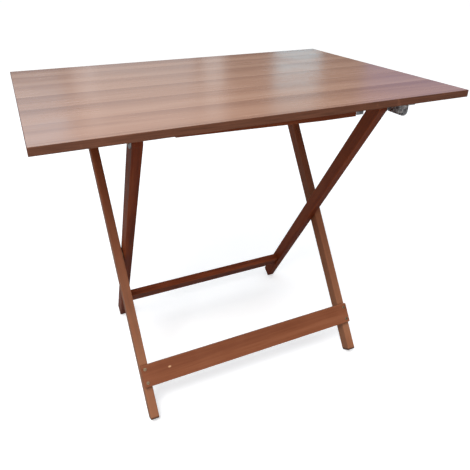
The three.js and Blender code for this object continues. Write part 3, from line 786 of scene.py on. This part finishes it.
def fasteners():
    """Every fastener of the CAD model, as a detailed piece. Those of one kind and length share a mesh."""
    meshes = {}
    for node in frame["nodes"]:
        kind = "_".join(node.split("_")[:2])
        if kind not in FASTENERS:
            continue
        make = FASTENERS[kind]
        key = (make, round(length_of(node) / MM, 2))
        if key not in meshes:
            first = make(length_of(node))
            first.data.materials.append(ZINC)
            smooth(first)
            apply_modifiers(first)
            meshes[key] = first.data
            bpy.data.objects.remove(first)
        finish_piece(linked(f"{node}_steel", meshes[key]), node, seat=seat_of(node))


# ---- Holes, made as tools in the axes of a frame ----
def countersink(node):
    """The hole of a countersunk screw, its mouth at the surface that the screw sits in."""
    bottom = -length_of(node) - PLAY
    shank = SCREW_RADIUS + PLAY
    head = SCREW_HEAD_RADIUS + PLAY
    profile = [(bottom, 0), (bottom, shank), (-COUNTERSINK_DEPTH, shank)]
    profile += [(-COUNTERSINK_LIP, head), (PAST, head), (PAST, 0)]
    return placed(turned("countersink", profile, 32), seat_of(node, SEAT_GAP))


def screw_hole(node):
    """A plain hole round a screw's shank, past its head."""
    bottom = -length_of(node) - PLAY
    return placed(rod("hole", SCREW_RADIUS + PLAY, bottom, 0, axis="Z"), seat_of(node))


def insert_hole(node):
    bottom = -INSERT_HOLE
    return placed(rod("insert_hole", INSERT_RADIUS + PLAY, bottom, PAST, axis="Z"), seat_of(node, PLAY))


def pivot_hole(node):
    """A through hole for a pivot bolt, with a seat for its head."""
    shank = BOLT_RADIUS + PLAY
    head = PIVOT_HEAD_RADIUS + PLAY
    bottom = -length_of(node)
    seat = -PIVOT_HEAD_HEIGHT - 2 * PLAY
    profile = [(bottom, 0), (bottom, shank), (seat, shank), (seat, head), (PAST, head), (PAST, 0)]
    return placed(turned("pivot_hole", profile, 48), seat_of(node, PIVOT_HEAD_GAP))


# ---- Wooden pieces ----
def wooden(node, outline, low, high, axis, woods, ease_width, holes):
    """A bar with eased edges, whose rounded edges are worn lighter, and its holes."""
    made = prism(f"{node}_wood", outline, low, high, axis)
    for material in woods:
        made.data.materials.append(material)
    ease(made, ease_width, 4, edge_material=1)
    if holes:
        combine(made, "DIFFERENCE", *holes)
    smooth(made)
    return finish_piece(made, node)


def leg_outline(low, high):
    """A leg from its side: a round top about the hinge or the rail, and a foot with rounded corners."""
    half = (high.y - low.y) / 2
    foot = low.z + FOOT_CORNER
    points = arc((0, REACH), half, 0, 180, 32)
    points += arc((-half + FOOT_CORNER, foot), FOOT_CORNER, 180, 270, 10)
    points += arc((half - FOOT_CORNER, foot), FOOT_CORNER, 270, 360, 10)
    return points


def leg(node, woods, holes):
    low, high = own_box(node)
    wooden(node, leg_outline(low, high), low.x, high.x, "X", woods, LEG_EASE, holes)


def legs():
    """All four legs. Inserts go into the inner pair, and the pivot bolts go through the outer pair."""
    for word, _ in SIDES:
        inserts = [insert_hole(f"{joint}_insert_{word}") for joint in ("hinge", "pivot")]
        leg(f"inner_leg_{word}", SHADED_INNER_LEG_WOODS, inserts + [countersink(f"rung_screw_{word}")])
        slat_screws = [countersink(f"slat_screw_{word}_{level}") for level in ("lower", "upper")]
        through = [pivot_hole(f"pivot_bolt_{word}"), countersink(f"rail_screw_{word}")]
        leg(f"outer_leg_{word}", OUTER_LEG_WOODS, through + slat_screws)


def front_slat():
    low, high = own_box("front_slat")
    outline = rounded_rectangle((low.x, low.z), (high.x, high.z), SLAT_CORNER)
    holes = [countersink(f"slat_screw_{word}_{level}") for word, _ in SIDES for level in ("lower", "upper")]
    wooden("front_slat", outline, low.y, high.y, "Y", SLAT_WOODS, SLAT_EASE, holes)


def back_rung():
    low, high = own_box("back_rung")
    outline = [(low.y, low.z), (high.y, low.z), (high.y, high.z), (low.y, high.z)]
    holes = [countersink(f"rung_screw_{word}") for word, _ in SIDES]
    wooden("back_rung", outline, low.x, high.x, "X", CROSSWISE_WOODS, RUNG_EASE, holes)


def front_batten():
    """A bar that gets thinner towards its left end."""
    low, high = own_box("front_batten")
    made = frame["nodes"]["front_batten"]
    points = [made.matrix_world @ vertex.co for vertex in made.data.vertices]
    thin_z = min(point.z for point in points if point.x < low.x + PAST)
    outline = [(low.x, thin_z), (BATTEN_TAPER_X, low.z), (high.x, low.z), (high.x, high.z), (low.x, high.z)]
    holes = [screw_hole(f"batten_screw_{i}") for i in (1, 2, 3)]
    wooden("front_batten", outline, low.y, high.y, "Y", CROSSWISE_WOODS, BATTEN_EASE, holes)


def top_rail():
    """A turned rod with rounded end rims."""
    low, high = own_box("top_rail")
    radius = (high.y - low.y) / 2
    profile = [(low.x, 0), (low.x, radius - RAIL_RIM), (low.x + RAIL_RIM, radius)]
    profile += [(high.x - RAIL_RIM, radius), (high.x, radius - RAIL_RIM), (high.x, 0)]
    made = placed(turned("top_rail_wood", profile, 48, "X"), Matrix.Translation((0, 0, REACH)))
    made.data.materials.append(CROSSWISE_WOODS[0])
    combine(made, "DIFFERENCE", *[countersink(f"rail_screw_{word}") for word, _ in SIDES])
    smooth(made)
    finish_piece(made, "top_rail")


# ---- Sheet-steel pieces ----
def angle_outline(corner, out, drop, way=1):
    """A bent sheet's section: a flat leaf out from the corner and an upright leaf down from it."""
    start, top = corner
    outer = BEND_RADIUS + SHEET
    bend = (outer, -outer)
    points = [(0, -drop)] + arc(bend, outer, 180, 90, 8) + [(out, 0), (out, -SHEET)]
    points += arc(bend, BEND_RADIUS, 90, 180, 6) + [(SHEET, -drop)]
    return [(start + way * a, top + b) for a, b in points]


def trimmed(made, *masks):
    """Keeps the part of a piece that lies inside any of the masks."""
    first, *others = masks
    if others:
        combine(first, "UNION", *others)
    return combine(made, "INTERSECT", first)


def steel(made, node, screws, material, bores=()):
    """Eases a sheet-steel piece's edges, drills it and puts it in its place."""
    ease(made, SHEET_EASE, 2)
    combine(made, "DIFFERENCE", *[screw_hole(screw) for screw in screws], *bores)
    smooth(made)
    finish_piece(made, node, [material])


def flat_mask(low, high, corner):
    """A rounded rectangle seen from above, tall enough to hold the leaf and its bend."""
    outline = rounded_rectangle((low.x, low.y), (high.x, high.y), corner)
    return prism("mask", outline, high.z - SHEET - BEND_RADIUS - PAST, high.z + PAST, "Z")


def hinge_bracket(word, side):
    """A bent bracket: a flange under the board and an ear round the hinge bolt."""
    node = f"hinge_bracket_{word}"
    low, high = own_box(node)
    inside = low.x if side > 0 else high.x
    outside = high.x if side > 0 else low.x
    section = angle_outline((inside, high.z), abs(outside - inside), high.z - low.z, side)
    made = prism(f"{node}_steel", section, low.y, high.y, "Y")
    radius = HINGE.z - low.z
    ear = arc((HINGE.y, HINGE.z), radius, 180, 360, 28)
    ear += [(HINGE.y + radius, high.z + PAST), (low.y - PAST, high.z + PAST), (low.y, high.z)]
    ear_ends = sorted((inside - side * PAST, inside + side * SHEET))
    ear_mask = prism("ear_mask", ear, *ear_ends)
    past_inside = inside - side * 2 * BRACKET_CORNER
    flange_low = Vector((min(past_inside, outside), HINGE.y - HINGE_FLANGE_FRONT, low.z))
    flange_high = Vector((max(past_inside, outside), high.y, high.z))
    made = trimmed(made, ear_mask, flat_mask(flange_low, flange_high, BRACKET_CORNER))
    screws = [f"bracket_screw_{word}_{end}" for end in ("front", "back")]
    bore_ends = sorted((inside - side * 2 * PAST, inside + side * (SHEET + PAST)))
    bore = rod("bore", BOLT_RADIUS + PLAY, *bore_ends, HINGE.y, HINGE.z)
    steel(made, node, screws, GALVANISED, [bore])


def side_catch_plate():
    """A hanging plate with a round front corner and a flange under the board."""
    low, high = own_box("side_catch_plate")
    section = angle_outline((low.x, high.z), high.x - low.x, high.z - low.z)
    made = prism("side_catch_plate_steel", section, low.y, high.y, "Y")
    plate = arc((low.y + CATCH_CORNER, low.z + CATCH_CORNER), CATCH_CORNER, 180, 270, 16)
    back = CATCH_BACK_CORNER
    plate += arc((high.y - back, low.z + back), back, 270, 360, 6)
    plate += [(high.y, high.z + PAST), (low.y, high.z + PAST)]
    plate_mask = prism("plate_mask", plate, low.x - PAST, low.x + SHEET)
    flange_low = Vector((low.x - 2 * CATCH_FLANGE_CORNER, low.y, low.z))
    flange_high = Vector((high.x, CATCH_FLANGE_BACK, high.z))
    made = trimmed(made, plate_mask, flat_mask(flange_low, flange_high, CATCH_FLANGE_CORNER))
    steel(made, "side_catch_plate", ["catch_screw_front", "catch_screw_back"], DENTED)


def stop_angle():
    """A small angle with its upright leaf to the front."""
    low, high = own_box("stop_angle")
    section = angle_outline((low.y, high.z), high.y - low.y, high.z - low.z)
    made = prism("stop_angle_steel", section, low.x, high.x)
    steel(made, "stop_angle", ["stop_screw"], GALVANISED)


def rail_hook(word):
    """A bent strip hook, open to the back."""
    node = f"rail_hook_{word}"
    low, high = own_box(node)
    rail_y = PIVOT.y + (PIVOT.y - HINGE.y)
    outer = HINGE.z - low.z
    inner = outer - HOOK_STRIP
    bend_radius = HOOK_BEND_RADIUS
    bend = (rail_y - outer - bend_radius, high.z - HOOK_STRIP - bend_radius)
    outline = [(low.y, high.z), (low.y, high.z - HOOK_STRIP)]
    outline += arc(bend, bend_radius, 90, 0, 6)
    outline += arc((rail_y, HINGE.z), outer, 180, 270, 20)
    outline += [(high.y, low.z), (high.y, low.z + HOOK_STRIP)]
    outline += arc((rail_y, HINGE.z), inner, 270, 180, 20)
    outline += arc(bend, bend_radius + HOOK_STRIP, 0, 90, 8)
    made = prism(f"{node}_steel", outline, low.x, high.x)
    steel(made, node, [f"hook_screw_{word}"], GALVANISED)


# ---- Board edging ----
def edge_band_strip(node, axis, material):
    """An edging strip with its corners just broken."""
    low, high = own_box(node)
    if axis == "X":
        outline = [(low.y, low.z), (high.y, low.z), (high.y, high.z), (low.y, high.z)]
        made = prism(f"{node}_strip", outline, low.x, high.x)
    else:
        outline = [(low.x, low.z), (high.x, low.z), (high.x, high.z), (low.x, high.z)]
        made = prism(f"{node}_strip", outline, low.y, high.y, "Y")
    ease(made, BAND_EASE, 3)
    smooth(made)
    finish_piece(made, node, [material])


def board():
    """The edging, and materials for the core and the two laminates, which stay as CAD solids."""
    long_band = edge_band("edge_band_long", "X")
    short_band = edge_band("edge_band_short", "Y")
    for node in ("edge_band_front", "edge_band_back"):
        edge_band_strip(node, "X", long_band)
    for node in ("edge_band_left", "edge_band_right"):
        edge_band_strip(node, "Y", short_band)
    kept = {"board_core": chipboard(), "laminate_top": laminate_top(), "laminate_under": laminate_under()}
    for node, material in kept.items():
        slots = frame["nodes"][node].data.materials
        slots.clear()
        slots.append(material)


board()
front_batten()
side_catch_plate()
stop_angle()
for word, side in SIDES:
    hinge_bracket(word, side)
    rail_hook(word)
legs()
front_slat()
back_rung()
top_rail()
fasteners()


# ---- Floor, light and camera ----
FLOOR_REACH = 30
FLOOR_THICKNESS = 20 * MM
FLOOR_BOUNCE = (0.4, 0.38, 0.36, 1)
PAPER_TONES = ((0.86, 0.86, 0.86, 1), (0.88, 0.88, 0.88, 1))
HORIZON = (0.12, 0.12, 0.12, 1)
OVERHEAD = (0.95, 0.95, 0.96, 1)


def floor():
    """White paper. It lights the table from below only as much as a dull floor would."""
    made = box("floor", (-FLOOR_REACH, -FLOOR_REACH, -FLOOR_THICKNESS), (FLOOR_REACH, FLOOR_REACH, 0))
    g = Graph("floor_paper", Roughness=0.9, Emission_Strength=0.5)
    fibres = g.noise(g.place(), 3, detail=2)
    paper = g.ramp(fibres, *zip((0.3, 0.7), PAPER_TONES))
    g.into("Base Color", paper)
    g.into("Emission Color", paper)
    dull = g.node("ShaderNodeBsdfDiffuse")
    dull.inputs["Color"].default_value = FLOOR_BOUNCE
    choose = g.node("ShaderNodeMixShader")
    g.feed(choose.inputs[0], g.node("ShaderNodeLightPath").outputs["Is Camera Ray"])
    g.tree.links.new(dull.outputs[0], choose.inputs[1])
    g.tree.links.new(g.shader.outputs[0], choose.inputs[2])
    g.tree.links.new(choose.outputs[0], g.tree.nodes["Material Output"].inputs["Surface"])
    made.data.materials.append(g.material)


def sky():
    """Soft light from all round, stronger overhead. The camera sees it as the same white as the floor."""
    world = bpy.data.worlds.new("studio")
    bpy.context.scene.world = world
    world.use_nodes = True
    tree = world.node_tree
    tree.nodes.clear()
    new = tree.nodes.new
    coords = new("ShaderNodeTexCoord")
    axes = new("ShaderNodeSeparateXYZ")
    ramp = new("ShaderNodeValToRGB")
    lit = new("ShaderNodeBackground")
    plain = new("ShaderNodeBackground")
    path = new("ShaderNodeLightPath")
    choose = new("ShaderNodeMixShader")
    out = new("ShaderNodeOutputWorld")
    ramp.color_ramp.elements[0].position = 0.3
    ramp.color_ramp.elements[0].color = HORIZON
    ramp.color_ramp.elements[1].position = 0.8
    ramp.color_ramp.elements[1].color = OVERHEAD
    plain.inputs["Color"].default_value = (1, 1, 1, 1)
    links = tree.links
    links.new(coords.outputs["Generated"], axes.inputs[0])
    links.new(axes.outputs["Z"], ramp.inputs["Fac"])
    links.new(ramp.outputs["Color"], lit.inputs["Color"])
    links.new(path.outputs["Is Camera Ray"], choose.inputs[0])
    links.new(lit.outputs[0], choose.inputs[1])
    links.new(plain.outputs[0], choose.inputs[2])
    links.new(choose.outputs[0], out.inputs["Surface"])


def disk_light(name, azimuth, elevation, distance, size, radiance):
    """A broad soft light aimed at the board's middle: azimuth in degrees from +Y towards +X."""
    lamp = bpy.data.lights.new(name, "AREA")
    lamp.shape = "DISK"
    lamp.size = size
    area = math.pi * (size / 2) ** 2
    lamp.energy = radiance * math.pi * area
    made = linked(name, lamp)
    level = math.cos(math.radians(elevation))
    away = Vector((
        math.sin(math.radians(azimuth)) * level,
        math.cos(math.radians(azimuth)) * level,
        math.sin(math.radians(elevation)),
    ))
    made.location = Vector((0, 0, cad_bounds[1][2])) + away * distance
    made.rotation_euler = away.to_track_quat("Z", "Y").to_euler()


CAMERA_PLACE = Vector((-0.42301, -1.02380, 0.95400))
# Degrees: from straight down, about the view's own axis, and from +Y about +Z.
CAMERA_TILT = 61.559
CAMERA_ROLL = 0.006
CAMERA_TURN = -24.843
CAMERA_LENS = 37.234
CAMERA_SHIFT = (-0.0163, -0.0192)


def strip_light(azimuth, width, radiance, color, low=0.8, high=4.2):
    """A tall soft strip behind the table, from low to high, which shows as a band in the board's gloss.

    Its azimuth is seen from the camera, in degrees from +Y towards +X, and its width is in degrees too."""
    distance = 5.0
    lamp = bpy.data.lights.new("strip", "AREA")
    lamp.shape = "RECTANGLE"
    lamp.size = 2 * distance * math.tan(math.radians(width / 2))
    lamp.size_y = high - low
    lamp.color = color
    lamp.energy = radiance * math.pi * lamp.size * lamp.size_y
    made = linked("strip", lamp)
    angle = math.radians(azimuth)
    away = Vector((math.sin(angle), math.cos(angle), 0))
    made.location = Vector((CAMERA_PLACE.x, CAMERA_PLACE.y, (low + high) / 2)) + away * distance
    made.rotation_euler = away.to_track_quat("Z", "Y").to_euler()
    made.visible_camera = False


def camera():
    data = bpy.data.cameras.new("camera")
    data.sensor_width = 36
    data.lens = CAMERA_LENS
    data.shift_x, data.shift_y = CAMERA_SHIFT
    made = linked("camera", data)
    roll = Matrix.Rotation(math.radians(CAMERA_ROLL), 4, "Z")
    tilt = Matrix.Rotation(math.radians(CAMERA_TILT), 4, "X")
    turn = Matrix.Rotation(math.radians(CAMERA_TURN), 4, "Z")
    made.matrix_world = Matrix.Translation(CAMERA_PLACE) @ turn @ tilt @ roll
    bpy.context.scene.camera = made


floor()
sky()
disk_light("key", azimuth=-138, elevation=46, distance=2.4, size=1.4, radiance=9.6)
disk_light("fill", azimuth=-160, elevation=9, distance=2.8, size=1.3, radiance=2.2)
strip_light(azimuth=-12, width=34, radiance=1.25, color=(0.45, 0.78, 1.0), low=1.7)
strip_light(azimuth=7.0, width=2.2, radiance=0.5, color=(0.9, 0.95, 1.0))
strip_light(azimuth=13.5, width=12, radiance=0.5, color=(0.75, 0.9, 1.0))
strip_light(azimuth=21.5, width=2.4, radiance=0.7, color=(0.85, 0.95, 1.0))
strip_light(azimuth=31.0, width=5.2, radiance=1.1, color=(0.5, 0.85, 1.0), high=1.75)
strip_light(azimuth=46.0, width=15, radiance=0.34, color=(0.05, 0.3, 1.0))
camera()
bpy.context.scene.view_settings.view_transform = "Standard"
